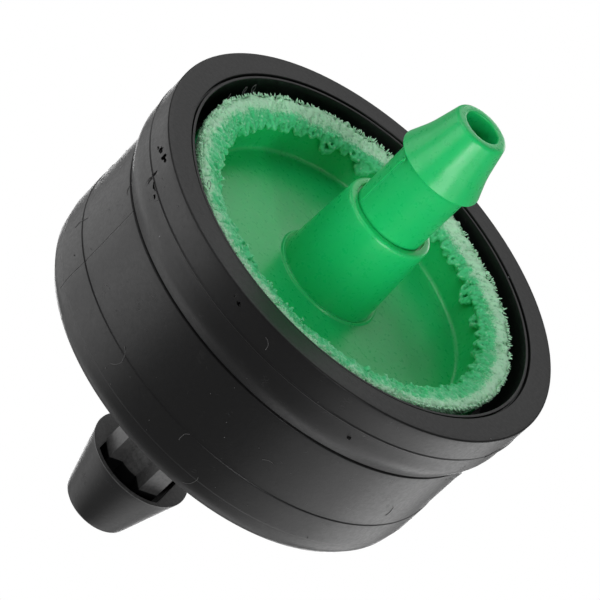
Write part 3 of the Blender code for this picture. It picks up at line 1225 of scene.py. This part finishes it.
def top_bristle():
    """One short bristle on the bead's sloping top."""
    azimuth = bead_random.uniform(0, 360)
    radius = bead_random.uniform(BEAD_INNER_R + 0.3, BEAD_OUTER_R - 0.1)
    slope = (radius - BEAD_INNER_R) / (BEAD_OUTER_R - BEAD_INNER_R)
    root = on_wall(azimuth, BEAD_TOP_Z - 0.34 + 0.30 * slope, radius)
    direction = lean(azimuth, 60, 0.2, 1.0)
    return bristle(root, direction, bead_random.uniform(0.05, 0.12), bead_random.uniform(0.015, 0.03))


def fringe():
    """Bristles along the outer edge and short ones over the pale top."""
    hairs = [outer_bristle() for _ in range(OUTER_BRISTLES)]
    return hairs + [top_bristle() for _ in range(TOP_BRISTLES)]


def plant_fringe(bead):
    """Join the fringe to the bead and set it on its body."""
    points, faces = join_meshes(fringe())
    hairs = mesh_object("hairs", points, faces, flash_plastic)
    shape = bmesh.new()
    shape.from_mesh(bead.data)
    shape.from_mesh(hairs.data)
    shape.to_mesh(bead.data)
    shape.free()
    bpy.data.objects.remove(hairs, do_unlink=True)
    bead.data.shade_smooth()
    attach(bead, "housing")
    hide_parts("weld_flash")


plant_fringe(bead)
print("bead with fringe:", len(bead.data.polygons), "faces")

# %% [markdown]
# ## Lint and dust
#
# Polyethylene charges up when it is rubbed, so a dripper from an open bag
# carries a few fibres and specks. They are far too small for a texture to show
# at every distance, and each one throws light of its own. So they are real:
# thin bent tubes and tiny pebbles that lie on the wall, whose radius is read
# from the housing's own outline.

# %% Lay lint on the wall
LINT_FIBRES = 22
LINT_SPECKS = 90
FIBRE_R = 0.014
STANDING_LOOPS = ((162.0, 0.50), (166.5, 0.42), (176.0, 0.30), (224.0, 0.35))   # azimuth, size
lint_random = random.Random(23)
wall_count = int(np.argmax(housing_outline[:, 1] < BOTTOM_Z + 0.02))
wall_outline = housing_outline[2:wall_count][::-1]


def wall_radius(height):
    """Radius of the housing's outside at a height."""
    return float(np.interp(height, wall_outline[:, 1], wall_outline[:, 0]))


def lint_place():
    """An azimuth in degrees and a height on the wall, more of them low down."""
    height = BOTTOM_Z + 1.5 + (RIM_Z - BOTTOM_Z - 2.0) * lint_random.random() ** 1.6
    return lint_random.uniform(0.0, 360.0), height


def lint_fibre(azimuth, height, length, heading, curl):
    """A fibre that wanders over the wall from a place, with a heading and a curl in radians."""
    steps = 12
    path = []
    for step in range(steps + 1):
        path.append(on_wall(azimuth, height, wall_radius(height) + 0.6 * FIBRE_R))
        heading += curl / steps + 0.5 * noise.noise(Vector((azimuth, height, step * 0.9)))
        azimuth += math.degrees(math.cos(heading) * length / steps / WALL_R)
        height += math.sin(heading) * length / steps
        height = min(max(height, BOTTOM_Z + 0.6), RIM_Z - 0.2)
    return tube(path, [FIBRE_R] * len(path), 5)


def standing_loop(azimuth, size):
    """A fine thread caught in the bead that stands up from it in a loop."""
    centre = on_wall(azimuth, BEAD_TOP_Z + 0.3, BEAD_OUTER_R + 0.05)
    sideways = on_wall(azimuth + 90, 0.0, 1.0)
    outwards = on_wall(azimuth, 0.0, 1.0)
    path = []
    for step in range(19):
        turn = -0.9 + 5.2 * step / 18
        wobble = 0.10 * noise.noise(Vector((azimuth, turn, 0.0)))
        place = centre + sideways * (size * 0.42 * math.cos(turn) + wobble)
        place += outwards * (size * 0.25 * math.sin(turn * 0.7))
        place[2] += size * 0.5 * math.sin(turn)
        path.append(place)
    return tube(path, [FIBRE_R] * len(path), 5)


def make_lint():
    """Fibres and specks on the housing, as one piece."""
    parts = [lint_fibre(-135.5, 12.75, 0.9, 0.2, 0.8), lint_fibre(-112.0, 6.2, 1.6, 0.4, 2.2)]
    parts += [standing_loop(azimuth, size) for azimuth, size in STANDING_LOOPS]
    for _ in range(LINT_FIBRES):
        azimuth, height = lint_place()
        parts.append(lint_fibre(azimuth, height, lint_random.uniform(0.4, 1.3),
                                lint_random.uniform(0.0, 2 * math.pi), lint_random.uniform(-2.5, 2.5)))
    for index in range(LINT_SPECKS):
        azimuth, height = lint_place()
        size = lint_random.uniform(0.012, 0.035)
        centre = on_wall(azimuth, height, wall_radius(height))
        parts.append(lump(centre, (size, size * 1.3, size), 0.8, index, detail=1))
    lint = mesh_object("lint", *join_meshes(parts), lint_grey)
    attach(lint, "housing")
    return lint


def make_lint_material():
    """Pale grey fibre, slightly uneven."""
    plastic = Plastic("lint_grey")
    grain = plastic.group(grain_group, Fine_Scale=12.0, Wave_Scale=2.0, Wave_Share=0.4)
    colour = plastic.mix(grain.outputs["Mottle"], (0.05, 0.05, 0.05), (0.17, 0.17, 0.17))
    rough = ramp(plastic.tree, grain.outputs["Mottle"], 0.3, 0.7, 0.6, 0.9)
    return plastic.finish(colour, rough, plastic.bump(grain.outputs["Height"], 0.01))


lint_grey = make_lint_material()
lint = make_lint()
print("lint:", len(lint.data.polygons), "faces")

# %% [markdown]
# ## Inner pieces
#
# Under the cover lie a disc with a throttling path and a silicone diaphragm
# that lifts as the pressure rises. Their solids keep their shape, and
# get a cream acetal and a grey silicone finish.

# %% Finish the inner pieces


def make_inner_material(name, light, dark, rough_low, rough_high, depth):
    """An even plastic or rubber with a faint mottle and a fine grain."""
    plastic = Plastic(name)
    grain = plastic.group(grain_group, Fine_Scale=6.0, Wave_Scale=0.5, Wave_Share=0.3)
    scuffs = plastic.group(scuff_group, Scale=0.6, Amount=0.3)
    colour = plastic.mix(grain.outputs["Mottle"], dark, light)
    rough = ramp(plastic.tree, grain.outputs["Mottle"], 0.3, 0.7, rough_low, rough_high)
    height = maths(plastic.tree, "SUBTRACT", grain.outputs["Height"], scuffs.outputs["Scratches"])
    return plastic.finish(colour, rough, plastic.bump(height, depth))


cream_plastic = make_inner_material("cream_acetal", (0.78, 0.75, 0.66), (0.70, 0.67, 0.58), 0.30, 0.45, 0.01)
silicone = make_inner_material("grey_silicone", (0.13, 0.13, 0.14), (0.09, 0.09, 0.10), 0.55, 0.75, 0.015)
for node, material in (("labyrinth_disc", cream_plastic), ("diaphragm", silicone)):
    frame["nodes"][node].material_slots[0].material = material
print("inner pieces finished")

# %% [markdown]
# ## Link the lamps
#
# Light linking gives each lamp a collection of the pieces that it may light.

# %% Link each set of lamps to its pieces


def link_lamps(name, lamps, pieces):
    """Let these lamps light only these pieces."""
    group = bpy.data.collections.new(name)
    for piece in pieces:
        group.objects.link(piece)
    for lamp in lamps:
        lamp.light_linking.receiver_collection = group


inner_pieces = [frame["nodes"]["labyrinth_disc"], frame["nodes"]["diaphragm"]]
link_lamps("lit_as_black", black_lamps, [housing, lint] + inner_pieces)
link_lamps("lit_as_green", green_lamps, [cover, bead])
print("lamps linked")
